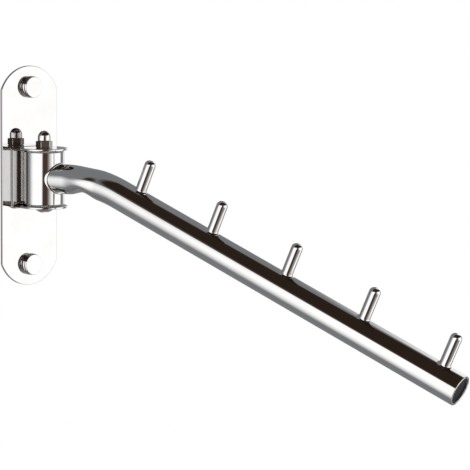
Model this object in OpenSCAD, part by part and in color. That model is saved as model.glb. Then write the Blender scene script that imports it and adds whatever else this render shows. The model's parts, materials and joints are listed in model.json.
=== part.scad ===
// Wall rack: a polished steel arm with upright hook pins swings on a hinge in front of a wall plate.
// Millimetres. X runs along the wall, -Y stands out from it and Z is up.
// The origin is the middle of the plate's back face, halfway between the two wall screws.

/* [Wall plate] */
// Width of the plate
plate_w = 38; // [34:1:44]
// Height of the plate
plate_h = 120; // [116:1:140]
// Thickness of the plate
plate_t = 1.5; // [1.2:0.1:3]
// Radius of the arc at each end of the plate
plate_end_r = 20.5; // [17:0.5:26]
// Distance between the two wall screws
screw_spacing = 97; // [80:1:100]

/* [Hinge] */
// Outer diameter of the hinge barrel
barrel_d = 21.6; // [21:0.1:23]
// Height of the bracket over both ears
bracket_h = 32.5; // [30:0.5:40]
// Width of the bracket and diameter of its round ears
bracket_w = 25; // [24:0.5:28]
// Thickness of the bracket's sheet
sheet_t = 1.2; // [1:0.1:1.6]
// Diameter of the pivot bolt
bolt_d = 5; // [4:0.5:6]

/* [Arm] */
// Outer diameter of the arm tube
tube_d = 16; // [14:0.5:18]
// Wall thickness of the arm tube
tube_wall = 1.2; // [0.8:0.1:1.6]
// Level length of tube from the pivot axis to the bend
lead_len = 19.2; // [19:0.1:40]
// Radius of the bend at the middle of the tube
bend_r = 78; // [26:13:91]
// Length of the sloping run
run_len = 216; // [210:1:240]
// Angle of the arm at rest, from straight out towards +X
rest_swing = 15; // [-60:1:60]

/* [Hook pins] */
// Number of hook pins on the sloping run
pin_count = 5; // [2:1:5]
// Diameter of a hook pin
pin_d = 6; // [4:0.5:8]
// Height of a hook pin above the tube
pin_len = 17; // [10:1:30]
// Distance from the end of the bend to the first pin
first_pin = 11.5; // [4:0.5:16]
// Distance between neighbouring pins
pin_spacing = 48; // [20:1:49]

/* [Screws and caps] */
// Diameter of a wall screw's shank
screw_d = 4; // [3:0.5:4.5]
// Length of a wall screw behind the plate
screw_reach = 20; // [12:1:50]
// Diameter of a screw cap
cap_d = 12; // [11:0.5:14]
// Height of a screw cap over the plate
cap_h = 4; // [4:0.5:6]

/* [Hidden] */
$fn = 96;

slack = 0.05;          // radial room in the close fits
cut = 1;               // how far a cutting solid runs past the face that it opens

barrel_gap = 0.4;      // between the barrel and the bracket's web
pivot_out = plate_t + sheet_t + barrel_gap + barrel_d / 2;
ear_inner_r = 0.8;     // inside radius of the bracket's two bends
ear_z = bracket_h / 2 - sheet_t;

bush_flange_t = 0.8;
bush_flange_d = barrel_d - 3;
bush_plug_len = 8;
bush_d = 14;
ear_play = 0.1;        // between a bush flange and its ear
barrel_h = 2 * (ear_z - ear_play - bush_flange_t);

nut_across_flats = 1.6 * bolt_d;
nut_hex_h = 3.8;
nut_dome_d = 1.4 * bolt_d;
nut_h = 9.3;
nut_thread_depth = 6.5;
bolt_in_nut = 5.5;
head_d = 2 * bolt_d;
head_h = 3;
head_rim = 0.9;
head_socket = 3;
head_socket_depth = 1.6;

screw_tip_len = 4;
screw_neck_d = 0.85 * screw_d;
screw_head_d = 8;
screw_head_h = 2;
recess_w = 1;
recess_len = 4.4;
recess_depth = 1.2;
base_t = 0.8;
base_lip_t = 0.7;
base_h = 2.2;
cap_wall = 0.6;
cap_rim = 0.8;
screw_hole_d = screw_d + 1;

slope = atan(5 / 12);  // the run falls 5 in 12
pin_tip_rim = 2.2;
plug_len = 9;
plug_wall = 1.4;
plug_recess = 0.2;     // the plug's face sits this far inside the tube's end
tube_r = tube_d / 2;
bore_r = tube_r - tube_wall;

function pin_name(i) = str("hanger_pin_", i);
function hex_d(across_flats) = across_flats / cos(30);

// ---- shapes that repeat ----

// A round post that stands on z = 0 with its top rim rounded
module rounded_post(d, h, rim) {
    rotate_extrude() {
        square([d / 2 - rim, h]);
        square([d / 2, h - rim]);
        intersection() {
            translate([d / 2 - rim, h - rim]) circle(r = rim);
            translate([d / 2 - rim, h - rim]) square(rim);
        }
    }
}

// A ring that stands on z = 0
module ring(outer_d, inner_d, h) {
    difference() {
        cylinder(d = outer_d, h = h);
        translate([0, 0, -cut]) cylinder(d = inner_d, h = h + 2 * cut);
    }
}

// ---- places ----

// Local +Z points out of the wall at height z; local z = 0 is the wall
module on_wall(z) {
    translate([0, 0, z]) rotate([90, 0, 0]) children();
}

module at_pivot() {
    translate([0, -pivot_out, 0]) children();
}

// Local +X runs out along the arm's level lead, from the pivot axis
module along_arm() {
    at_pivot() rotate([0, 0, rest_swing - 90]) children();
}

// Local +X runs down the arm's sloping run, from the end of the bend
module along_run() {
    along_arm()
        translate([lead_len + bend_r * sin(slope), 0, -bend_r * (1 - cos(slope))])
            rotate([0, slope, 0]) children();
}

// ---- wall plate ----

module plate_outline() {
    intersection() {
        square([plate_w, plate_h], center = true);
        union() {
            for (end = [-1, 1])
                translate([0, end * (plate_h / 2 - plate_end_r)]) circle(r = plate_end_r);
            square([2 * plate_end_r, plate_h - 2 * plate_end_r], center = true);
        }
    }
}

module wall_plate() {
    color("gainsboro")
        on_wall(0)
            linear_extrude(plate_t)
                difference() {
                    plate_outline();
                    for (end = [-1, 1])
                        translate([0, end * screw_spacing / 2]) circle(d = screw_hole_d);
                }
}

// ---- hinge bracket ----

// A rectangle from x = 0 whose two corners at x = 0 are rounded
module back_rounded(depth, height, r) {
    translate([r, -height / 2]) square([depth - r, height]);
    translate([0, r - height / 2]) square([depth, height - 2 * r]);
    for (end = [-1, 1]) translate([r, end * (height / 2 - r)]) circle(r = r);
}

// Side view of the bent strip: web on the plate, ears standing out
module bracket_section() {
    depth = pivot_out + bracket_w;
    difference() {
        back_rounded(depth, bracket_h, ear_inner_r + sheet_t);
        translate([sheet_t, 0]) back_rounded(depth, 2 * ear_z, ear_inner_r);
    }
}

// Top view: straight sides from the plate, round about the pivot
module bracket_outline() {
    at_pivot() circle(d = bracket_w);
    translate([-bracket_w / 2, -pivot_out]) square([bracket_w, pivot_out - plate_t]);
}

module hinge_bracket() {
    color("silver")
        difference() {
            intersection() {
                translate([0, -plate_t, 0])
                    rotate([90, 0, -90])
                        linear_extrude(bracket_w + 2 * cut, center = true) bracket_section();
                linear_extrude(bracket_h + 2 * cut, center = true) bracket_outline();
            }
            at_pivot() cylinder(d = bolt_d + 4 * slack, h = bracket_h + 2 * cut, center = true);
        }
}

// ---- pivot ----

module button_head() {
    dome_h = head_h - head_rim;
    dome_r = (head_d * head_d / 4 + dome_h * dome_h) / (2 * dome_h);
    difference() {
        intersection() {
            translate([0, 0, head_h - dome_r]) sphere(r = dome_r);
            cylinder(d = head_d, h = head_h);
        }
        translate([0, 0, head_h - head_socket_depth])
            cylinder(d = hex_d(head_socket), h = head_socket_depth + cut, $fn = 6);
    }
}

module pivot_bolt() {
    color("silver")
        at_pivot() {
            translate([0, 0, -bracket_h / 2]) cylinder(d = bolt_d, h = bracket_h + bolt_in_nut);
            translate([0, 0, -bracket_h / 2]) mirror([0, 0, 1]) button_head();
        }
}

// A hexagon whose corners are turned off in a cone at the top and the bottom
module chamfered_hex(across_flats, h) {
    corner = hex_d(across_flats);
    chamfer = (corner - across_flats) / 2;
    intersection() {
        cylinder(d = corner, h = h, $fn = 6);
        rotate_extrude()
            polygon([
                [0, 0],
                [corner / 2 - chamfer, 0],
                [corner / 2, chamfer / 2],
                [corner / 2, h - chamfer / 2],
                [corner / 2 - chamfer, h],
                [0, h]
            ]);
    }
}

module acorn_nut() {
    dome_r = nut_dome_d / 2;
    color("silver")
        at_pivot()
            translate([0, 0, bracket_h / 2])
                difference() {
                    union() {
                        chamfered_hex(nut_across_flats, nut_hex_h);
                        cylinder(r = dome_r, h = nut_h - dome_r);
                        translate([0, 0, nut_h - dome_r]) sphere(r = dome_r);
                    }
                    translate([0, 0, -cut])
                        cylinder(d = bolt_d + 2 * slack, h = nut_thread_depth + cut);
                }
}

module hinge_barrel() {
    color("silver")
        at_pivot()
            translate([0, 0, -barrel_h / 2]) ring(barrel_d, bush_d + 2 * slack, barrel_h);
}

// A nylon bush: its plug sits in the barrel and its flange carries the thrust against an ear
module bush() {
    translate([0, 0, barrel_h / 2]) ring(bush_flange_d, bolt_d + 2 * slack, bush_flange_t);
    translate([0, 0, barrel_h / 2 - bush_plug_len])
        ring(bush_d, bolt_d + 2 * slack, bush_plug_len);
}

module upper_bush() {
    color("ivory") at_pivot() bush();
}

module lower_bush() {
    color("ivory") at_pivot() mirror([0, 0, 1]) bush();
}

// ---- arm ----

// The tube's lead is cut to the round of the barrel that it is welded to
module arm_tube() {
    color("silver") {
        along_arm() {
            difference() {
                rotate([0, 90, 0]) ring(tube_d, 2 * bore_r, lead_len);
                cylinder(d = barrel_d, h = barrel_h, center = true);
            }
            translate([lead_len, 0, -bend_r])
                rotate([0, -90, -90])
                    rotate_extrude(angle = slope)
                        translate([bend_r, 0])
                            difference() {
                                circle(r = tube_r);
                                circle(r = bore_r);
                            }
        }
        along_run() rotate([0, 90, 0]) ring(tube_d, 2 * bore_r, run_len);
    }
}

// A cup pressed into the tube's open end
module end_plug() {
    plug_r = bore_r - slack;
    color("dimgray")
        along_run()
            translate([run_len - plug_recess, 0, 0])
                rotate([0, 90, 0])
                    difference() {
                        translate([0, 0, -plug_len]) rounded_post(2 * plug_r, plug_len, plug_wall / 2);
                        translate([0, 0, -plug_len - cut])
                            cylinder(r = plug_r - plug_wall, h = plug_len - plug_wall + cut);
                    }
}

// A pin stands square to the run, with its foot cut to the round of the tube
module hanger_pin(i) {
    color("silver")
        along_run()
            difference() {
                translate([first_pin + (i - 1) * pin_spacing, 0, 0])
                    rounded_post(pin_d, tube_r + pin_len, pin_tip_rim);
                rotate([0, 90, 0]) cylinder(r = tube_r, h = run_len);
            }
}

// ---- wall screws and their caps ----

// The shank behind the plate narrows to a neck where it passes through the plate
module wall_screw() {
    head_z = plate_t + base_t;
    color("darkgray")
        difference() {
            union() {
                cylinder(d = screw_neck_d, h = head_z);
                translate([0, 0, screw_tip_len - screw_reach])
                    cylinder(d = screw_d, h = screw_reach - screw_tip_len);
                translate([0, 0, -screw_reach])
                    cylinder(d1 = screw_d / 8, d2 = screw_d, h = screw_tip_len);
                translate([0, 0, head_z]) rounded_post(screw_head_d, screw_head_h, screw_head_h / 2);
            }
            for (turn = [0, 90])
                translate([0, 0, head_z + screw_head_h])
                    rotate([0, 0, turn]) cube([recess_len, recess_w, 2 * recess_depth], center = true);
        }
}

// The snap ring under the screw head that the cap clips over
module cap_base() {
    base_d = cap_d - 2 * cap_wall - 2 * slack;
    color("dimgray")
        translate([0, 0, plate_t]) {
            ring(base_d, screw_d + 4 * slack, base_t);
            ring(base_d, base_d - 2 * base_lip_t, base_h);
        }
}

module screw_cap() {
    color("gainsboro")
        translate([0, 0, plate_t])
            difference() {
                rounded_post(cap_d, cap_h, cap_rim);
                translate([0, 0, -cut]) cylinder(d = cap_d - 2 * cap_wall, h = cap_h - cap_wall + cut);
            }
}

wall_plate();
hinge_bracket();
pivot_bolt();
acorn_nut();
on_wall(screw_spacing / 2) wall_screw();  // upper_wall_screw
on_wall(screw_spacing / 2) cap_base();  // upper_cap_base
on_wall(screw_spacing / 2) screw_cap();  // upper_screw_cap
on_wall(-screw_spacing / 2) wall_screw();  // lower_wall_screw
on_wall(-screw_spacing / 2) cap_base();  // lower_cap_base
on_wall(-screw_spacing / 2) screw_cap();  // lower_screw_cap
hinge_barrel();
upper_bush();
lower_bush();
arm_tube();
end_plug();
for (i = [1 : pin_count])
    hanger_pin(i);
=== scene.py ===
import json
import math

import bmesh
import bpy
from mathutils import Matrix, Vector


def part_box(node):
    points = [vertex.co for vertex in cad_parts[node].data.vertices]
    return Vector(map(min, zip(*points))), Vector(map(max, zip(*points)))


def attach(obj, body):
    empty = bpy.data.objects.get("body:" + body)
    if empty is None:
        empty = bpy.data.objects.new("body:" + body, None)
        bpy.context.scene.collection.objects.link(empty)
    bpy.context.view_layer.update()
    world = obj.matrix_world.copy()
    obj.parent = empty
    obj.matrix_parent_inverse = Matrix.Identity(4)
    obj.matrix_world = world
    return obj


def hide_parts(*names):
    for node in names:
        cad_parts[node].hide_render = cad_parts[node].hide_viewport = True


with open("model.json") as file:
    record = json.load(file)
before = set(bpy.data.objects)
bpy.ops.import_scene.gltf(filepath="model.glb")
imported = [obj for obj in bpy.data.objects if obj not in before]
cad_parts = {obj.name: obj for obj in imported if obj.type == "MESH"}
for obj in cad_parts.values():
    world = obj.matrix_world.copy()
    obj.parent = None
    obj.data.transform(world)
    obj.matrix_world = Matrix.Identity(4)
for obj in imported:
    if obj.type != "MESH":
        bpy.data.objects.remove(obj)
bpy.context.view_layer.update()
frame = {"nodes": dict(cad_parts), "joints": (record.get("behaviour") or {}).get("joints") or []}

# Looks for a swing arm wall hook rack: mirror polished steel on a wall plate, hinge and sloping arm.
# The row frame is the CAD's: X along the wall, -Y out into the room, Z up, in metres.

MM = 0.001

# ---- sizes that the boxes of the CAD nodes don't give directly ----

PLATE_END_R = 20.5 * MM      # arc at each end of the wall plate
PLATE_EDGE_IN = 0.5 * MM     # how far in from its outline the plate's front starts to fall away
PLATE_EDGE_DROP = 0.3 * MM
PLATE_BACK_EDGE = 0.2 * MM
SCREW_HOLE_R = 2.5 * MM

SHEET = 1.2 * MM             # thickness of the hinge bracket's sheet
SHEET_EDGE = 0.35 * MM       # rounding of the sheet's cut edges
BEND_INNER_R = 0.8 * MM      # inside radius of the bracket's two bends
EAR_HOLE_R = 2.6 * MM

BOLT_R = 2.5 * MM
BORE_SLACK = 0.05 * MM
HEX_APOTHEM = 4 * MM         # acorn nut, half its width across flats
HEX_ROUND = 0.25 * MM
HEX_H = 3.8 * MM
DOME_R = 3.5 * MM
NUT_THREAD_DEPTH = 6.5 * MM
HEAD_H = 3 * MM              # button head under the hinge
HEAD_RIM = 0.9 * MM
HEAD_ROUND = 0.3 * MM
SOCKET_APOTHEM = 1.5 * MM
SOCKET_DEPTH = 1.6 * MM
SOCKET_POINT = 0.5 * MM      # depth of the drill point under the socket's floor
SOCKET_CHAMFER = 0.25 * MM
SOCKET_MOUTH = 0.15 * MM     # how far the chamfer reaches past the socket's corners
SOCKET_ROUND = 0.1 * MM
THREAD_CHAMFER = 0.5 * MM
DOME_FOOT = 0.3 * MM         # fillet between the acorn nut's hexagon and dome

BUSH_R = 7 * MM
BUSH_FLANGE = 0.8 * MM
BUSH_EDGE = 0.15 * MM
BARREL_EDGE = 0.3 * MM
BARREL_BORE_EDGE = 0.2 * MM

SWING = math.radians(15)     # the arm at rest, from straight out towards +X
SLOPE = math.atan2(5, 12)    # the sloping run's fall
TUBE_R = 8 * MM
TUBE_BORE_R = 6.8 * MM
LEAD = 19.2 * MM             # level length from the pivot axis to the bend
BEND_R = 78 * MM
RUN = 216 * MM
PINCH_AT = 28 * MM           # the bend's inner side is pinched most this far from the pivot axis
PINCH_HALF = 11 * MM
PINCH_LOW = 2 * MM           # how much the pinch flattens the tube from below
PINCH_HIGH = 0.5 * MM        # and from above
PINCH_WIDEN = 0.35           # sideways bulge per unit of pinch
TUBE_EDGE = 0.4 * MM         # rounding of the tube's open end
TUBE_ROOT = 13.5 * MM        # first full ring of the tube from the pivot axis, clear of the barrel's round
TUBE_FINE = 12 * MM          # the close rings go on this far past the pinch

PIN_R = 3 * MM
PIN_TOP = 25 * MM            # tip of a pin over the run's axis
PIN_TIP_ROUND = 2.4 * MM
PIN_FIRST = 11.5 * MM        # from the start of the run
PIN_STEP = 48 * MM
PIN_TIP_TILT = 80            # degrees where the tip's rounding ends and its last flat cone starts
PIN_SINK = 0.3 * MM          # how deep a pin's foot lies in the tube
WELD = 1.0 * MM              # size of the fillet at a pin's foot
BARREL_WELD_OUT = 0.6 * MM   # the bead round the tube where it meets the barrel
BARREL_WELD_ALONG = 0.8 * MM
BARREL_WELD_IN = 0.4 * MM    # how deep in the tube the bead's hidden inner edge lies
BARREL_WELD_BACK = 0.5 * MM  # how deep in the barrel that edge lies
BARREL_WELD_TUCK = 0.6       # the outer edge enters the barrel at this share of the bead's height
BARREL_WELD_TUCK_BACK = 0.4 * MM

PLUG_WALL = 1.4 * MM
PLUG_DEPTH = 9 * MM
PLUG_INSET = 0.2 * MM        # the plug's face lies this far inside the tube's end
PLUG_EDGE = 0.5 * MM
PLUG_CHAMFER = 0.3 * MM
PLUG_LIP = 1.2 * MM          # from the plug's side to the end of its flat rim
PLUG_LIP_EDGE = 0.35 * MM
PLUG_DISH_IN = 1.6 * MM      # from the plug's side to the dish
PLUG_DISH = 0.5 * MM
PLUG_DISH_RISE = 0.12 * MM   # from the dish's middle to its rim

CAP_WALL = 0.6 * MM
CAP_CROWN = 0.15 * MM
CAP_GROOVE_AT = 2.2 * MM     # the groove round the cap's side
CAP_GROOVE = 0.4 * MM
CAP_UPPER_IN = 0.12 * MM     # how much narrower the cap is past the groove
CAP_BULGE_R = 1.6 * MM       # side rounding before the groove and before the face
CAP_BULGE_TILT = 36          # degrees it turns inward
CAP_EDGE_R = 0.3 * MM
CAP_EDGE_TILT = 80           # degrees at which the edge meets the face
CAP_LIP = 0.15 * MM          # rounding of the rim on the plate
CAP_GROOVE_LOW = 0.06 * MM   # the groove starts this far under its deepest line
CAP_GROOVE_HIGH = 0.2 * MM   # and ends this far over it
SCREW_R = 2 * MM
SCREW_ROOT_R = 1.45 * MM
SCREW_NECK_R = 1.7 * MM
SCREW_PITCH = 1.6 * MM
SCREW_TIP = 4 * MM
SCREW_HEAD_R = 4 * MM
SCREW_HEAD_H = 2 * MM
CROSS_ARM = 2.2 * MM
CROSS_DEPTH = 1.2 * MM
CROSS_POINT = 0.4 * MM       # depth of the recess's point under its floor
CROSS_TAPER = 0.45           # the floor's share of the recess's width
CROSS_SINK = 0.05 * MM       # the recess's outline lies this far under the head's top
CROSS_RIM = 0.3 * MM         # the head is flat from this far outside the recess
CAP_BASE_T = 0.8 * MM

# ---- places ----

joint = frame["joints"][0]
pivot = Vector(joint["pos_m"])
plate_lo, plate_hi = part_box("wall_plate")
bracket_lo, bracket_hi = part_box("hinge_bracket")
barrel_lo, barrel_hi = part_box("hinge_barrel")
nut_lo, nut_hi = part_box("acorn_nut")
bolt_lo, bolt_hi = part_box("pivot_bolt")
BARREL_R = (barrel_hi.x - barrel_lo.x) / 2
PIN_COUNT = sum(name.startswith("hanger_pin") for name in frame["nodes"])


def axes(x_axis, y_axis, z_axis, origin):
    """A matrix whose columns are the three axes and the origin."""
    return Matrix.Translation(origin) @ Matrix((x_axis, y_axis, z_axis)).transposed().to_4x4()


def on_wall(z):
    """Local +Z points out of the wall at height z, and local z = 0 is the wall."""
    return axes(Vector((1, 0, 0)), Vector((0, 0, 1)), Vector((0, -1, 0)), Vector((0, 0, z)))


OUT = Vector((math.sin(SWING), -math.cos(SWING), 0))
SIDE = Vector((math.cos(SWING), math.sin(SWING), 0))
UP = Vector((0, 0, 1))
ALONG_ARM = axes(OUT, SIDE, UP, pivot)
RUN_START = Vector((LEAD + BEND_R * math.sin(SLOPE), 0, -BEND_R * (1 - math.cos(SLOPE))))
ALONG_RUN = ALONG_ARM @ Matrix.Translation(RUN_START) @ Matrix.Rotation(SLOPE, 4, "Y")

# ---- mesh building ----


def arc(x, y, r, first, last, steps, squash=1.0):
    """Points of an arc in degrees about (x, y); squash scales its height."""
    points = []
    for i in range(steps + 1):
        a = math.radians(first + (last - first) * i / steps)
        points.append((x + r * math.cos(a), y + squash * r * math.sin(a)))
    return points


def circle(r, z, turns):
    """A ring of points at the given angles; a ring of no radius is one point."""
    if r == 0:
        return [Vector((0, 0, z))]
    return [Vector((r * math.cos(a), r * math.sin(a), z)) for a in turns]


def even_turns(count=96):
    return [2 * math.pi * i / count for i in range(count)]


def skin(bm, rings, closed=False, around=True):
    """Faces between neighbouring rings of points, UV mapped in metres: U across rings, V round them."""
    lay = bm.loops.layers.uv.verify()
    rows = [[bm.verts.new(point) for point in ring] for ring in rings]
    pairs = list(zip(rows, rows[1:]))
    if closed:
        pairs.append((rows[-1], rows[0]))
    u = 0.0
    for low, high in pairs:
        wide = max(low, high, key=len)
        count = len(wide) if around else len(wide) - 1
        girth = sum((wide[i].co - wide[i - 1].co).length for i in range(1, len(wide)))
        step = (high[0].co - low[0].co).length
        for j in range(count):
            k = j + 1
            corners = [(low, j, u), (low, k, u), (high, k, u + step), (high, j, u + step)]
            used = {}
            for row, n, across in corners:
                used.setdefault(row[n % len(row)], (across, n * girth / count))
            face = bm.faces.new(used)
            for loop in face.loops:
                loop[lay].uv = used[loop.vert]
        u += step
    return rows


def lathe(bm, profile, closed=False, turns=None):
    """Turns (radius, height) points about local Z."""
    turns = turns or even_turns()
    return skin(bm, [circle(r, z, turns) for r, z in profile], closed)


def fill(bm, loops):
    """A flat face inside the first closed loop of vertices, with the others as holes."""
    edges = []
    for loop in loops:
        for i, vert in enumerate(loop):
            pair = (loop[i - 1], vert)
            edges.append(bm.edges.get(pair) or bm.edges.new(pair))
    bmesh.ops.triangle_fill(bm, use_beauty=True, edges=edges)


def piece(name, bm, body, nodes, slot, place=None, crease=32):
    """Makes the mesh an object that rides on a body and stands for CAD nodes."""
    bmesh.ops.recalc_face_normals(bm, faces=bm.faces)
    for face in bm.faces:
        face.smooth = True
    mesh = bpy.data.meshes.new(name)
    bm.to_mesh(mesh)
    bm.free()
    if place is not None:
        mesh.transform(place)
    mesh.set_sharp_from_angle(angle=math.radians(crease))
    mesh.materials.append(MATERIALS[slot])
    obj = bpy.data.objects.new(name, mesh)
    bpy.context.scene.collection.objects.link(obj)
    weighted = obj.modifiers.new("weighted normals", "WEIGHTED_NORMAL")
    weighted.keep_sharp = True
    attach(obj, body)
    if nodes:
        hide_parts(*nodes)
    return obj


# ---- materials ----


class Tree:
    """A material's or world's nodes, made and joined in one call each."""

    def __init__(self, owner):
        owner.use_nodes = True
        self.tree = owner.node_tree
        self.tree.nodes.clear()

    def node(self, kind, inputs=None, **settings):
        made = self.tree.nodes.new(kind)
        for key, value in settings.items():
            setattr(made, key, value)
        for key, value in (inputs or {}).items():
            if isinstance(value, bpy.types.NodeSocket):
                self.tree.links.new(value, made.inputs[key])
            else:
                made.inputs[key].default_value = value
        return made

    def maths(self, operation, *values):
        inputs = dict(enumerate(values))
        return self.node("ShaderNodeMath", inputs, operation=operation).outputs[0]

    def smooth(self, value, low, high, start=0.0, end=1.0):
        """Goes smoothly from start to end as the value goes from low to high."""
        inputs = {"Value": value, "From Min": low, "From Max": high, "To Min": start, "To Max": end}
        made = self.node("ShaderNodeMapRange", inputs, interpolation_type="SMOOTHSTEP")
        return made.outputs["Result"]

    def mix(self, share, first, second):
        made = self.node("ShaderNodeMix", data_type="RGBA")
        for key, value in ((0, share), (6, first), (7, second)):
            if isinstance(value, bpy.types.NodeSocket):
                self.tree.links.new(value, made.inputs[key])
            else:
                made.inputs[key].default_value = value
        return made.outputs[2]

    def noise(self, vector, scale, detail=2.0, roughness=0.5):
        inputs = {"Vector": vector, "Scale": scale, "Detail": detail, "Roughness": roughness}
        return self.node("ShaderNodeTexNoise", inputs).outputs["Fac"]

    def bump(self, height, distance, strength=1.0, normal=None):
        inputs = {"Height": height, "Distance": distance, "Strength": strength}
        if normal is not None:
            inputs["Normal"] = normal
        return self.node("ShaderNodeBump", inputs).outputs["Normal"]


def grey(value, warm=0.0):
    """A linear colour, a little redder and less blue where warm is over 0."""
    return (value * (1 + warm), value, value * (1 - warm), 1)


STEEL_BRIGHT = grey(0.655, 0.004)
STEEL_DULL = grey(0.62, 0.012)
ZINC = (0.62, 0.64, 0.66, 1)
ZINC_STAIN = (0.56, 0.54, 0.48, 1)
BLACK = (0.006, 0.007, 0.006, 1)
BLACK_FADED = (0.012, 0.014, 0.012, 1)
NYLON = (0.72, 0.71, 0.66, 1)
NYLON_AGED = (0.64, 0.63, 0.57, 1)


def material(name, parts):
    """A Principled material; parts(tree, place) returns its inputs, given object coordinates."""
    made = bpy.data.materials.new(name)
    tree = Tree(made)
    place = tree.node("ShaderNodeTexCoord").outputs["Object"]
    shader = tree.node("ShaderNodeBsdfPrincipled", parts(tree, place))
    tree.node("ShaderNodeOutputMaterial", {"Surface": shader.outputs[0]})
    return made


def lay_lines(tree, along, across):
    """Noise drawn out into fine lines that run across the rings of each mesh."""
    lay = tree.node("ShaderNodeUVMap", uv_map="UVMap").outputs["UV"]
    stretched = tree.node("ShaderNodeMapping", {"Vector": lay, "Scale": (along, across, 1)})
    return tree.noise(stretched.outputs["Vector"], 1.0, 3.0)


def polished_steel(tree, place):
    lines = lay_lines(tree, 25, 2600)
    smudge = tree.noise(place, 70, 4.0, 0.6)
    waves = tree.noise(place, 95, 1.0)
    tone = tree.mix(tree.smooth(smudge, 0.35, 0.75), STEEL_BRIGHT, STEEL_DULL)
    haze = tree.smooth(smudge, 0.45, 0.8, 0.0, 0.02)
    fine = tree.smooth(lines, 0.35, 0.7, 0.012, 0.03)
    soft = tree.bump(waves, 0.006 * MM)
    return {
        "Base Color": tone,
        "Metallic": 1.0,
        "Roughness": tree.maths("ADD", haze, fine),
        "Normal": tree.bump(lines, 0.0002 * MM, 1.0, soft),
    }


def zinc_steel(tree, place):
    spangle = tree.noise(place, 900, 3.0)
    stain = tree.noise(place, 160, 4.0)
    return {
        "Base Color": tree.mix(tree.smooth(stain, 0.4, 0.7), ZINC, ZINC_STAIN),
        "Metallic": 1.0,
        "Roughness": tree.smooth(spangle, 0.3, 0.7, 0.22, 0.38),
        "Normal": tree.bump(spangle, 0.01 * MM),
    }


def black_plastic(tree, place):
    grain = tree.noise(place, 2600, 2.0)
    flow = tree.noise(place, 180, 3.0)
    return {
        "Base Color": tree.mix(tree.smooth(flow, 0.35, 0.7), BLACK, BLACK_FADED),
        "Roughness": tree.smooth(grain, 0.3, 0.7, 0.34, 0.5),
        "Specular IOR Level": 0.1,
        "Normal": tree.bump(grain, 0.02 * MM),
    }


def white_nylon(tree, place):
    grain = tree.noise(place, 1800, 2.0)
    flow = tree.noise(place, 140, 3.0)
    return {
        "Base Color": tree.mix(tree.smooth(flow, 0.3, 0.7), NYLON, NYLON_AGED),
        "Roughness": tree.smooth(grain, 0.3, 0.7, 0.35, 0.5),
        "Normal": tree.bump(grain, 0.012 * MM),
        "Subsurface Weight": 0.15,
        "Subsurface Radius": (1.2 * MM, 1.1 * MM, 0.9 * MM),
    }


MATERIALS = {
    "polished_steel": material("polished_steel_look", polished_steel),
    "zinc_steel": material("zinc_steel_look", zinc_steel),
    "black_plastic": material("black_plastic_look", black_plastic),
    "white_nylon": material("white_nylon_look", white_nylon),
}

# ---- wall plate ----


def plate_outline(inset, y):
    """The plate's outline moved in, at depth y: an arc at each end, cut off by the straight sides."""
    half_w = (plate_hi.x - plate_lo.x) / 2 - inset
    centre = plate_hi.z - PLATE_END_R
    r = PLATE_END_R - inset
    corner = math.degrees(math.acos(half_w / r))
    top = arc(0, centre, r, corner, 180 - corner, 72)
    bottom = arc(0, -centre, r, 180 + corner, 360 - corner, 72)
    return [Vector((x, y, z)) for x, z in top + bottom]


def wall_plate():
    bm = bmesh.new()
    back, front = plate_hi.y, plate_lo.y
    rings = []
    for inset, depth in arc(PLATE_BACK_EDGE, PLATE_BACK_EDGE, PLATE_BACK_EDGE, 270, 180, 4):
        rings.append(plate_outline(inset, back - depth))
    edge_steps = 10
    for step in range(edge_steps + 1):
        a = math.radians(90 * step / edge_steps)
        inset = PLATE_EDGE_IN * (1 - math.cos(a))
        depth = front + PLATE_EDGE_DROP * (1 - math.sin(a))
        rings.append(plate_outline(inset, depth))
    rows = skin(bm, rings)
    fronts, backs = [rows[-1]], [rows[0]]
    for cap in ("upper_screw_cap", "lower_screw_cap"):
        lo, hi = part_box(cap)
        around = arc(0, (lo.z + hi.z) / 2, SCREW_HOLE_R, 0, 360, 48)[:-1]
        hole = [Vector((x, 0, z)) for x, z in around]
        wall = skin(bm, [[p + Vector((0, y, 0)) for p in hole] for y in (back, front)])
        backs.append(wall[0])
        fronts.append(wall[1])
    fill(bm, fronts)
    fill(bm, backs)
    return piece("plate_panel", bm, "wall_mount", ["wall_plate"], "polished_steel")


# ---- hinge bracket ----


def sheet_edge(middle, outward, face):
    """Across the sheet's rounded edge, from its outer face to its inner face."""
    half = SHEET / 2
    across = arc(-SHEET_EDGE, half - SHEET_EDGE, SHEET_EDGE, 90, 0, 4)
    across += arc(-SHEET_EDGE, SHEET_EDGE - half, SHEET_EDGE, 0, -90, 4)
    return [middle + outward * o + face * m for o, m in across]


def bracket_stations():
    """Depth, height and outer face along the sheet's middle, from the lower ear to the upper."""
    bend = BEND_INNER_R + SHEET / 2
    centre_y = bracket_hi.y - SHEET - BEND_INNER_R
    centre_z = bracket_hi.z - SHEET - BEND_INNER_R
    upper = []
    for y, z in arc(centre_y, centre_z, bend, 0, 90, 10):
        upper.append((y, z, Vector((0, y - centre_y, z - centre_z)).normalized()))
    lower = [(y, -z, Vector((0, face.y, -face.z))) for y, z, face in reversed(upper)]
    return lower + upper


def ear_tip(station, half_w, steps=72):
    """The round end of an ear, between its right and left sides."""
    y, z, face = station
    rings = []
    for x, out in arc(0, 0, 1, 0, 180, steps)[1:-1]:
        outward = Vector((x, -out, 0))
        rings.append(sheet_edge(Vector((pivot.x, pivot.y, z)) + outward * half_w, outward, face))
    return rings


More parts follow.
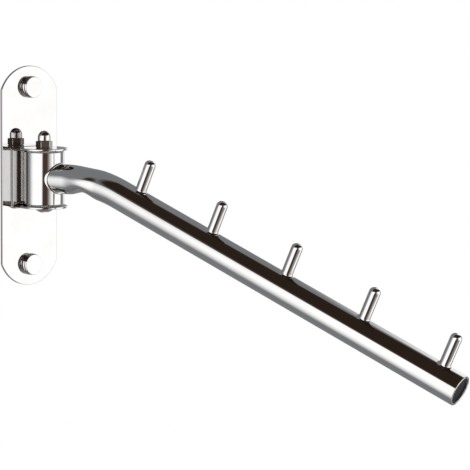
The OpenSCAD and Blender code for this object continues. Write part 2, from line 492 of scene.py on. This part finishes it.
def hinge_bracket():
    """A loop of rounded edge, with strips between its right and left sides and a flat ear at each end."""
    bm = bmesh.new()
    half_w = (bracket_hi.x - bracket_lo.x) / 2
    stations = bracket_stations()
    side = Vector((1, 0, 0))
    right = [sheet_edge(Vector((half_w, y, z)), side, face) for y, z, face in stations]
    left = [sheet_edge(Vector((-half_w, y, z)), -side, face) for y, z, face in stations]
    tips = [ear_tip(stations[0], half_w), ear_tip(stations[-1], half_w)]
    rows = skin(bm, right + tips[1] + left[::-1] + tips[0][::-1], closed=True, around=False)
    n, t = len(stations), len(tips[0])
    right, upper_tip = rows[:n], rows[n:n + t]
    left, lower_tip = rows[n + t:2 * n + t][::-1], rows[2 * n + t:]
    upper_ear = right[-1:] + upper_tip + left[-1:]
    lower_ear = left[:1] + lower_tip + right[:1]
    ears = [(stations[-1], upper_ear), (stations[0], lower_ear)]
    middle = Vector((pivot.x, pivot.y, 0))
    for face_of in (0, -1):
        for i in range(n - 1):
            bm.faces.new([row[face_of] for row in (right[i], right[i + 1], left[i + 1], left[i])])
    for (_, z, face), outline in ears:
        levels = [z + face.z * half for half in (SHEET / 2, -SHEET / 2)]
        rings = [[v + middle for v in circle(EAR_HOLE_R, level, even_turns(48))] for level in levels]
        hole = skin(bm, rings)
        for face_of in (0, -1):
            fill(bm, [[row[face_of] for row in outline], hole[face_of]])
    return piece("hinge_strap", bm, "wall_mount", ["hinge_bracket"], "polished_steel")


# ---- pivot ----


def hex_turns(apothem, rounding, steps=12):
    """Angles and radii round a hexagon with rounded corners."""
    inner = (apothem - rounding) / math.cos(math.radians(30))
    points = []
    for corner in range(6):
        middle = 60 * corner + 30
        cx, cy = inner * math.cos(math.radians(middle)), inner * math.sin(math.radians(middle))
        points += arc(cx, cy, rounding, middle - 30, middle + 30, 4)
        ahead = 60 * corner + 60
        side = apothem - rounding
        for i in range(1, steps):
            along = side * math.tan(math.radians(30)) * (1 - 2 * i / steps)
            a = math.radians(ahead)
            c, s = math.cos(a), math.sin(a)
            points.append((apothem * c + along * s, apothem * s - along * c))
    turns = [math.atan2(y, x) % (2 * math.pi) for x, y in points]
    radii = [math.hypot(x, y) for x, y in points]
    order = sorted(range(len(turns)), key=turns.__getitem__)
    return [turns[i] for i in order], [radii[i] for i in order]


def limited(turns, radii, limit, z):
    """A ring of those angles and radii, turned down to a limiting radius."""
    held = [min(r, limit) for r in radii]
    return [Vector((r * math.cos(a), r * math.sin(a), z)) for a, r in zip(turns, held)]


def acorn_nut():
    bm = bmesh.new()
    turns, radii = hex_turns(HEX_APOTHEM, HEX_ROUND)
    corner = HEX_APOTHEM / math.cos(math.radians(30))
    chamfer = corner - HEX_APOTHEM
    height = nut_hi.z - nut_lo.z
    bore = BOLT_R + BORE_SLACK
    rings = [circle(r, z, turns) for r, z in ((0, NUT_THREAD_DEPTH), (bore, NUT_THREAD_DEPTH), (bore, 0))]
    steps = 6
    growing = [(HEX_APOTHEM + chamfer * i / steps, chamfer / 2 * i / steps) for i in range(steps + 1)]
    rings += [limited(turns, radii, limit, z) for limit, z in growing]
    rings += [limited(turns, radii, limit, HEX_H - z) for limit, z in reversed(growing)]
    for r, z in arc(DOME_R + DOME_FOOT, HEX_H + DOME_FOOT, DOME_FOOT, 270, 180, 4):
        rings.append(circle(r, z, turns))
    for r, z in arc(0, height - DOME_R, DOME_R, 0, 90, 20)[:-1]:
        rings.append(circle(r, z, turns))
    rings.append(circle(0, height, turns))
    skin(bm, rings)
    place = Matrix.Translation((pivot.x, pivot.y, nut_lo.z))
    return piece("acorn_nut_polished", bm, "wall_mount", ["acorn_nut"], "polished_steel", place)


def pivot_bolt():
    """Built head up, then turned over: the head's dome is below the hinge."""
    bm = bmesh.new()
    turns, radii = hex_turns(SOCKET_APOTHEM, SOCKET_ROUND)
    head_r = (bolt_hi.x - bolt_lo.x) / 2
    length = bolt_hi.z - bracket_lo.z
    rise = HEAD_H - HEAD_RIM
    dome_r = (head_r ** 2 + rise ** 2) / (2 * rise)
    rings = [circle(0, HEAD_H - SOCKET_DEPTH - SOCKET_POINT, turns)]
    rings += [limited(turns, radii, head_r, HEAD_H - depth) for depth in (SOCKET_DEPTH, SOCKET_CHAMFER)]
    mouth = SOCKET_APOTHEM / math.cos(math.radians(30)) + SOCKET_MOUTH
    tilt = math.degrees(math.asin(mouth / dome_r))
    edge = math.degrees(math.asin((head_r - HEAD_ROUND) / dome_r))
    for r, z in arc(0, HEAD_H - dome_r, dome_r, 90 - tilt, 90 - edge, 16):
        rings.append(circle(r, z, turns))
    rim = arc(head_r - HEAD_ROUND, HEAD_RIM - HEAD_ROUND / 2, HEAD_ROUND, 45, 0, 4)
    rim += arc(head_r - HEAD_ROUND, HEAD_ROUND, HEAD_ROUND, 0, -90, 4)
    shank = [(BOLT_R, 0), (BOLT_R, THREAD_CHAMFER - length), (BOLT_R - THREAD_CHAMFER, -length), (0, -length)]
    for r, z in rim + shank:
        rings.append(circle(r, z, turns))
    skin(bm, rings)
    turned = Matrix.Translation((pivot.x, pivot.y, bracket_lo.z)) @ Matrix.Rotation(math.pi, 4, "X")
    return piece("pivot_bolt_polished", bm, "wall_mount", ["pivot_bolt"], "polished_steel", turned)


def rounded_ring(outer, inner, low, high, edge, bore_edge):
    """Closed outline of a ring's section with rounded edges."""
    points = arc(outer - edge, high - edge, edge, 90, 0, 5)
    points += arc(outer - edge, low + edge, edge, 0, -90, 5)
    points += arc(inner + bore_edge, low + bore_edge, bore_edge, -90, -180, 3)
    points += arc(inner + bore_edge, high - bore_edge, bore_edge, 180, 90, 3)
    return points


def hinge_barrel():
    bm = bmesh.new()
    bore = BUSH_R + BORE_SLACK
    section = rounded_ring(BARREL_R, bore, barrel_lo.z, barrel_hi.z, BARREL_EDGE, BARREL_BORE_EDGE)
    lathe(bm, section, closed=True)
    place = Matrix.Translation((pivot.x, pivot.y, 0))
    return piece("barrel_polished", bm, "swing_arm", ["hinge_barrel"], "polished_steel", place)


def bush(node, end):
    bm = bmesh.new()
    lo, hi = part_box(node)
    flange_r = (hi.x - lo.x) / 2
    bore = BOLT_R + BORE_SLACK
    outer_z = hi.z if end > 0 else -lo.z
    plug_z = lo.z if end > 0 else -hi.z
    flange_z = outer_z - BUSH_FLANGE
    edge = BUSH_EDGE
    profile = arc(flange_r - edge, outer_z - edge, edge, 90, 0, 4)
    profile += [(flange_r, flange_z), (BUSH_R, flange_z)]
    profile += arc(BUSH_R - 2 * edge, plug_z + 2 * edge, 2 * edge, 0, -90, 4)
    profile += [(bore + edge, plug_z), (bore, plug_z + edge), (bore, outer_z - edge), (bore + edge, outer_z)]
    lathe(bm, profile, closed=True)
    place = Matrix.Translation((pivot.x, pivot.y, 0)) @ Matrix.Rotation(0 if end > 0 else math.pi, 4, "X")
    return piece(node + "_moulded", bm, "swing_arm", [node], "white_nylon", place)


# ---- arm ----


def arm_path(s):
    """The tube's middle, direction and upper side, s along it from the pivot axis, in the arm's frame."""
    bend_len = BEND_R * SLOPE
    turn = min(max((s - LEAD) / BEND_R, 0), SLOPE)
    along = Vector((math.cos(turn), 0, -math.sin(turn)))
    if s <= LEAD:
        middle = Vector((s, 0, 0))
    else:
        middle = Vector((LEAD + BEND_R * math.sin(turn), 0, BEND_R * (math.cos(turn) - 1)))
        middle += along * max(s - LEAD - bend_len, 0)
    return middle, along, Vector((math.sin(turn), 0, math.cos(turn)))


def pinch(s):
    """1 where the bend is pinched most, 0 away from it."""
    off = min(abs(s - PINCH_AT) / PINCH_HALF, 1)
    return 0.5 + 0.5 * math.cos(math.pi * off)


def tube_ring(s, r, count=96, back=0.0):
    """A ring of the tube, flattened where the bend is pinched. back slides each point towards the barrel."""
    middle, along, up = arm_path(s)
    squeeze = pinch(s)
    wide = r + PINCH_WIDEN * PINCH_LOW * squeeze
    ring = []
    for a in even_turns(count):
        high = r - squeeze * (PINCH_HIGH if math.sin(a) > 0 else PINCH_LOW)
        point = middle + Vector((0, wide * math.cos(a), 0)) + up * (high * math.sin(a))
        if back:
            onto_barrel = math.sqrt(BARREL_R ** 2 - point.y ** 2)
            point.x += (onto_barrel - point.x) * back
        ring.append(point)
    return ring


def tube_stations():
    """Distances along the tube's middle: close together through the bend."""
    fine_end = PINCH_AT + PINCH_HALF + TUBE_FINE
    end = LEAD + BEND_R * SLOPE + RUN
    fine_count, coarse_count = 60, 24
    fine = [TUBE_ROOT + (fine_end - TUBE_ROOT) * i / fine_count for i in range(fine_count + 1)]
    coarse = [fine_end + (end - fine_end) * i / coarse_count for i in range(1, coarse_count + 1)]
    return fine + coarse


def arm_tube():
    bm = bmesh.new()
    stations = tube_stations()
    end = stations[-1]
    edge = TUBE_EDGE
    backs = (1.0, 0.75, 0.5, 0.25)
    rings = [tube_ring(stations[0], TUBE_R, back=b) for b in backs]
    rings += [tube_ring(s, TUBE_R) for s in stations[:-1]]
    for r, off in arc(TUBE_R - edge, -edge, edge, 0, 90, 5):
        rings.append(tube_ring(end + off, r))
    for r, off in arc(TUBE_BORE_R + edge, -edge, edge, 90, 180, 5):
        rings.append(tube_ring(end + off, r))
    rings += [tube_ring(s, TUBE_BORE_R) for s in reversed(stations[:-1])]
    rings += [tube_ring(stations[0], TUBE_BORE_R, back=b) for b in reversed(backs)]
    skin(bm, rings, closed=True)
    return piece("arm_tube_polished", bm, "swing_arm", ["arm_tube"], "polished_steel", ALONG_ARM)


def barrel_weld():
    """The bead where the tube meets the barrel: a bulging ring between a line on each."""
    bm = bmesh.new()
    rings = []
    section = [(TUBE_R - BARREL_WELD_IN, -BARREL_WELD_BACK)]
    for out, along in arc(0, 0, 1, 90, 0, 8):
        section.append((TUBE_R + BARREL_WELD_OUT * out, BARREL_WELD_ALONG * along))
    section.append((TUBE_R + BARREL_WELD_TUCK * BARREL_WELD_OUT, -BARREL_WELD_TUCK_BACK))
    for r, along in section:
        ring = []
        for a in even_turns():
            y = r * math.cos(a)
            ring.append(Vector((math.sqrt(BARREL_R ** 2 - y ** 2) + along, y, r * math.sin(a))))
        rings.append(ring)
    skin(bm, rings, closed=True)
    return piece("barrel_weld", bm, "swing_arm", [], "polished_steel", ALONG_ARM)


def end_plug():
    """A moulded cup with a shallow dish in its face; local Z is the run's direction."""
    bm = bmesh.new()
    plug_r = TUBE_BORE_R - BORE_SLACK
    face = RUN - PLUG_INSET
    bore, floor_z, mouth = plug_r - PLUG_WALL, face - PLUG_WALL, face - PLUG_DEPTH
    dish_r = plug_r - PLUG_DISH_IN
    profile = [(0, floor_z), (bore, floor_z), (bore, mouth)]
    profile += [(plug_r - PLUG_CHAMFER, mouth), (plug_r, mouth + PLUG_CHAMFER)]
    profile += arc(plug_r - PLUG_EDGE, face - PLUG_EDGE, PLUG_EDGE, 0, 90, 5)
    profile += arc(plug_r - PLUG_LIP, face - PLUG_LIP_EDGE, PLUG_LIP_EDGE, 90, 170, 4)
    profile += [(r * dish_r, face - PLUG_DISH + PLUG_DISH_RISE * r * r) for r in (1, 0.8, 0.6, 0.4, 0.2, 0)]
    lathe(bm, profile)
    place = ALONG_RUN @ Matrix.Rotation(math.pi / 2, 4, "Y")
    return piece("end_plug_moulded", bm, "swing_arm", ["end_plug"], "black_plastic", place)


def hanger_pin(number):
    """A pin with a fillet at its foot, which follows the round of the tube."""
    bm = bmesh.new()
    turns = even_turns(64)
    rings = []
    for r, lift in [(PIN_R + WELD, -PIN_SINK)] + arc(PIN_R + WELD, WELD, WELD, 270, 180, 8):
        ring = []
        for a in turns:
            x, y = r * math.cos(a), r * math.sin(a)
            ring.append(Vector((x, y, math.sqrt(TUBE_R ** 2 - y ** 2) + lift)))
        rings.append(ring)
    flat = PIN_R - PIN_TIP_ROUND
    for r, z in arc(flat, PIN_TOP - PIN_TIP_ROUND, PIN_TIP_ROUND, 0, PIN_TIP_TILT, 14):
        rings.append(circle(r, z, turns))
    rings.append(circle(0, PIN_TOP, turns))
    rows = skin(bm, rings)
    fill(bm, [rows[0]])
    place = ALONG_RUN @ Matrix.Translation((PIN_FIRST + (number - 1) * PIN_STEP, 0, 0))
    node = f"hanger_pin_{number}"
    return piece(f"pin_{number}_polished", bm, "swing_arm", [node], "polished_steel", place)


# ---- wall screws and their caps ----


def screw_thread(turns):
    """Rings of a woodscrew's thread from the plate's back to the tip, on local Z."""
    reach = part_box("upper_wall_screw")[1].y
    per_pitch = 10
    crest_half = 0.28
    count = int(reach / SCREW_PITCH * per_pitch)
    rings = []
    for i in range(count + 1):
        depth = reach * i / count
        taper = min(1, (reach - depth) / SCREW_TIP)
        start = min(1, depth / SCREW_PITCH)
        ring = []
        for a in turns:
            phase = (depth / SCREW_PITCH + a / (2 * math.pi)) % 1
            crest = max(0, 1 - abs(phase - 0.5) / crest_half) * start
            r = (SCREW_ROOT_R + (SCREW_R - SCREW_ROOT_R) * crest) * taper
            ring.append(Vector((r * math.cos(a), r * math.sin(a), -depth)))
        rings.append(ring)
    rings[-1] = [Vector((0, 0, -reach))]
    return rings


def wall_screw(which, z):
    """A pan head with a cross recess over the cap's base, and a threaded shank behind the plate."""
    bm = bmesh.new()
    turns = even_turns()
    seat = plate_hi.y - plate_lo.y + CAP_BASE_T
    top = seat + SCREW_HEAD_H
    half = CROSS_ARM * math.tan(math.radians(15))
    cross = []
    for a in turns:
        c, s = max(abs(math.cos(a)), 1e-6), max(abs(math.sin(a)), 1e-6)
        cross.append(max(min(CROSS_ARM / c, half / s), min(half / c, CROSS_ARM / s)))
    rounding = SCREW_HEAD_H / 2
    rings = [circle(0, top - CROSS_DEPTH - CROSS_POINT, turns)]
    for share, depth in ((CROSS_TAPER, CROSS_DEPTH), (1.0, CROSS_SINK)):
        rings.append(limited(turns, [r * share for r in cross], SCREW_HEAD_R, top - depth))
    rings.append(circle(CROSS_ARM + CROSS_RIM, top, turns))
    for r, lift in arc(SCREW_HEAD_R - rounding, seat + rounding, rounding, 90, 0, 8):
        rings.append(circle(r, lift, turns))
    neck = [(SCREW_HEAD_R, seat), (SCREW_NECK_R, seat), (SCREW_NECK_R, 0)]
    rings += [circle(r, lift, turns) for r, lift in neck]
    rings += screw_thread(turns)
    skin(bm, rings)
    piece(f"{which}_screw_threaded", bm, "wall_mount", [f"{which}_wall_screw"], "zinc_steel", on_wall(z))


def bulge_to(r, z):
    """The side's rounding inward from radius r, which ends at height z."""
    rise = CAP_BULGE_R * math.sin(math.radians(CAP_BULGE_TILT))
    return arc(r - CAP_BULGE_R, z - rise, CAP_BULGE_R, 0, CAP_BULGE_TILT, 8)


def screw_cap(which, z):
    """A snap-on cap with a groove round its side and a slightly crowned face."""
    bm = bmesh.new()
    lo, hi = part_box(f"{which}_screw_cap")
    r, height = (hi.x - lo.x) / 2, hi.y - lo.y
    lip = CAP_LIP
    inner, roof = r - CAP_WALL, height - CAP_WALL
    tilt, edge_tilt = math.radians(CAP_BULGE_TILT), math.radians(CAP_EDGE_TILT)
    edge_rise = CAP_EDGE_R * (math.sin(edge_tilt) - math.sin(tilt))
    profile = [(0, roof), (inner - 2 * lip, roof), (inner, roof - 2 * lip)]
    profile += [(inner, lip), (inner + lip, 0)]
    profile += arc(r - lip, lip, lip, -90, 0, 3)
    profile += bulge_to(r, CAP_GROOVE_AT - CAP_GROOVE_LOW)
    profile += [(r - CAP_GROOVE, CAP_GROOVE_AT), (r - CAP_UPPER_IN, CAP_GROOVE_AT + CAP_GROOVE_HIGH)]
    profile += bulge_to(r - CAP_UPPER_IN, height - CAP_CROWN - edge_rise)
    last_r, last_z = profile[-1]
    edge_x, edge_z = last_r - CAP_EDGE_R * math.cos(tilt), last_z - CAP_EDGE_R * math.sin(tilt)
    profile += arc(edge_x, edge_z, CAP_EDGE_R, CAP_BULGE_TILT, CAP_EDGE_TILT, 5)[1:]
    face_r = profile[-1][0]
    crown_r = (face_r ** 2 + CAP_CROWN ** 2) / (2 * CAP_CROWN)
    crown_edge = math.degrees(math.asin(face_r / crown_r))
    profile += arc(0, height - crown_r, crown_r, 90 - crown_edge, 90, 10)[1:-1]
    profile.append((0, height))
    lathe(bm, profile)
    place = on_wall(z) @ Matrix.Translation((0, 0, plate_hi.y - plate_lo.y))
    return piece(f"{which}_cap_polished", bm, "wall_mount", [f"{which}_screw_cap"], "polished_steel", place)


# ---- the object ----

wall_plate()
hinge_bracket()
pivot_bolt()
acorn_nut()
hinge_barrel()
bush("upper_bush", 1)
bush("lower_bush", -1)
arm_tube()
barrel_weld()
end_plug()
for number in range(1, PIN_COUNT + 1):
    hanger_pin(number)
for which in ("upper", "lower"):
    lo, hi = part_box(f"{which}_screw_cap")
    height = (lo.z + hi.z) / 2
    wall_screw(which, height)
    screw_cap(which, height)
    base = frame["nodes"][f"{which}_cap_base"]
    base.data.materials.clear()
    base.data.materials.append(MATERIALS["black_plastic"])

# ---- studio ----

WHITE = grey(1.55)
DARK = (0.034, 0.021, 0.015, 1)
BROWN = (0.085, 0.05, 0.038, 1)
BEHIND = (0.26, 0.267, 0.28, 1)


def studio():
    """White to the camera; the steel reflects a white tent, dark in front and overhead, grey behind."""
    world = bpy.data.worlds.new("studio")
    bpy.context.scene.world = world
    tree = Tree(world)
    way = tree.node("ShaderNodeTexCoord").outputs["Generated"]
    unit = tree.node("ShaderNodeVectorMath", {0: way}, operation="NORMALIZE").outputs[0]
    x, y, z = tree.node("ShaderNodeSeparateXYZ", {"Vector": unit}).outputs
    degree = math.degrees(1)
    forward = tree.maths("MULTIPLY", y, -1.0)
    turned = tree.maths("MULTIPLY", tree.maths("ARCTAN2", x, forward), degree)
    above = tree.maths("MULTIPLY", tree.maths("ARCSINE", z), degree)
    raised = tree.maths("MAXIMUM", above, 0.0)
    lowered = tree.maths("MINIMUM", above, 0.0)

    def line(start, *terms):
        """start plus each factor times its value."""
        total = start
        for factor, value in terms:
            total = tree.maths("MULTIPLY_ADD", value, factor, total)
        return total

    # White, but for a darker stretch at the far right and a greyer one low in front.
    far_right = tree.smooth(turned, 62.0, 78.0)
    far_right = tree.maths("MULTIPLY", far_right, tree.smooth(turned, 95.0, 108.0, 1.0, 0.0))
    low_front = tree.smooth(tree.maths("ABSOLUTE", line(-8.0, (1.0, turned))), 18.0, 34.0, 1.0, 0.0)
    low_front = tree.maths("MULTIPLY", low_front, tree.smooth(above, -12.0, -36.0))
    light = tree.mix(low_front, WHITE, grey(0.4))
    light = tree.mix(far_right, light, grey(0.26))

    # The dark opening: all that is overhead and in front, and a column under it that spreads lower down.
    in_front = line(0.0, (1.0, turned), (-0.9, above))
    reach = tree.maths("MAXIMUM", tree.smooth(in_front, 45.0, 70.0, 1.0, 0.0), tree.smooth(above, 50.0, 65.0))
    overhead = tree.maths("MULTIPLY", tree.smooth(above, 25.0, 31.0), reach)
    overhead_edge = tree.maths("MULTIPLY", tree.smooth(above, 21.0, 26.0), reach)
    column_left = tree.smooth(line(-4.0, (1.0, turned), (-0.8, lowered)), -55.0, -44.0)
    column_right = tree.smooth(line(-1.0, (1.0, turned), (-0.2, lowered)), -25.0, 16.0, 1.0, 0.0)
    column = tree.maths("MULTIPLY", column_left, column_right)
    light = tree.mix(tree.maths("MAXIMUM", overhead_edge, column), light, BROWN)
    light = tree.mix(overhead, light, DARK)

    # Grey behind the object, from the left, from the right and, overhead, from a plane by the wall.
    left = line(0.0, (-1.0, turned), (0.8, raised))
    low_right = tree.smooth(line(0.0, (1.0, turned), (-0.6, lowered)), 108.0, 130.0)
    high_right = tree.smooth(line(0.0, (1.0, turned), (0.33, raised)), 119.0, 130.0)
    right = tree.mix(tree.smooth(above, 0.0, 6.0), low_right, high_right)
    is_left = tree.smooth(turned, -20.0, 20.0, 1.0, 0.0)
    past_left = tree.maths("MULTIPLY", is_left, tree.smooth(left, 100.0, 140.0))
    past_right = tree.maths("MULTIPLY", line(1.0, (-1.0, is_left)), right)
    past_wall = tree.smooth(line(0.0, (0.1, x), (0.99, y), (-0.107, z)), -0.02, 0.07)
    past_wall = tree.maths("MULTIPLY", past_wall, tree.maths("MAXIMUM", is_left, high_right))
    high = tree.smooth(line(0.0, (1.0, above), (14.0, is_left)), 38.0, 50.0)
    behind = tree.mix(high, tree.maths("ADD", past_left, past_right), past_wall)
    light = tree.mix(behind, light, BEHIND)

    # Grey below.
    light = tree.mix(tree.smooth(above, -50.0, -65.0), light, grey(0.2))

    seen = tree.node("ShaderNodeLightPath").outputs["Is Camera Ray"]
    shown = tree.mix(seen, light, grey(1.0))
    background = tree.node("ShaderNodeBackground", {"Color": shown})
    tree.node("ShaderNodeOutputWorld", {"Surface": background.outputs[0]})


FLOOR_Z = -0.6
FLOOR_R = 1.9
FLOOR_MIDDLE_R = 1.2
FLOOR_GLOW = 0.9


def floor():
    """A pale matte disc well below the rack. It glows a little, and the steel does not reflect it."""
    bm = bmesh.new()
    lathe(bm, [(0, 0), (FLOOR_MIDDLE_R, 0), (FLOOR_R, 0)], turns=even_turns(64))
    mesh = bpy.data.meshes.new("floor")
    bm.to_mesh(mesh)
    bm.free()
    obj = bpy.data.objects.new("floor", mesh)
    bpy.context.scene.collection.objects.link(obj)
    obj.location = (0, 0, FLOOR_Z)
    made = bpy.data.materials.new("floor_pale")
    tree = Tree(made)
    place = tree.node("ShaderNodeTexCoord").outputs["Object"]
    tone = tree.mix(tree.noise(place, 6.0), grey(0.90), grey(0.94))
    shader = tree.node("ShaderNodeBsdfPrincipled", {
        "Base Color": tone,
        "Roughness": 0.9,
        "Emission Color": grey(1.0),
        "Emission Strength": FLOOR_GLOW,
    })
    tree.node("ShaderNodeOutputMaterial", {"Surface": shader.outputs[0]})
    mesh.materials.append(made)
    obj.visible_glossy = False


CAMERA_AZIMUTH = math.radians(-44.18)
CAMERA_ELEVATION = math.radians(7.05)
CAMERA_ROLL = math.radians(0.697)
CAMERA_DISTANCE = 1085.2 * MM
CAMERA_ASIDE = 113 * MM
CAMERA_RAISE = -32.43 * MM
CAMERA_LENS = 152.1


def camera():
    flat = math.cos(CAMERA_ELEVATION)
    c, s = math.cos(CAMERA_AZIMUTH), math.sin(CAMERA_AZIMUTH)
    back = Vector((s * flat, -c * flat, math.sin(CAMERA_ELEVATION)))
    level = Vector((c, s, 0))
    upright = back.cross(level)
    right = level * math.cos(CAMERA_ROLL) + upright * math.sin(CAMERA_ROLL)
    up = upright * math.cos(CAMERA_ROLL) - level * math.sin(CAMERA_ROLL)
    data = bpy.data.cameras.new("camera")
    data.lens = CAMERA_LENS
    data.clip_start = 0.01
    data.clip_end = 20
    obj = bpy.data.objects.new("camera", data)
    bpy.context.scene.collection.objects.link(obj)
    where = back * CAMERA_DISTANCE + right * CAMERA_ASIDE + up * CAMERA_RAISE
    obj.matrix_world = axes(right, up, back, where)
    bpy.context.scene.camera = obj


studio()
floor()
camera()
bpy.context.scene.view_settings.view_transform = "Standard"
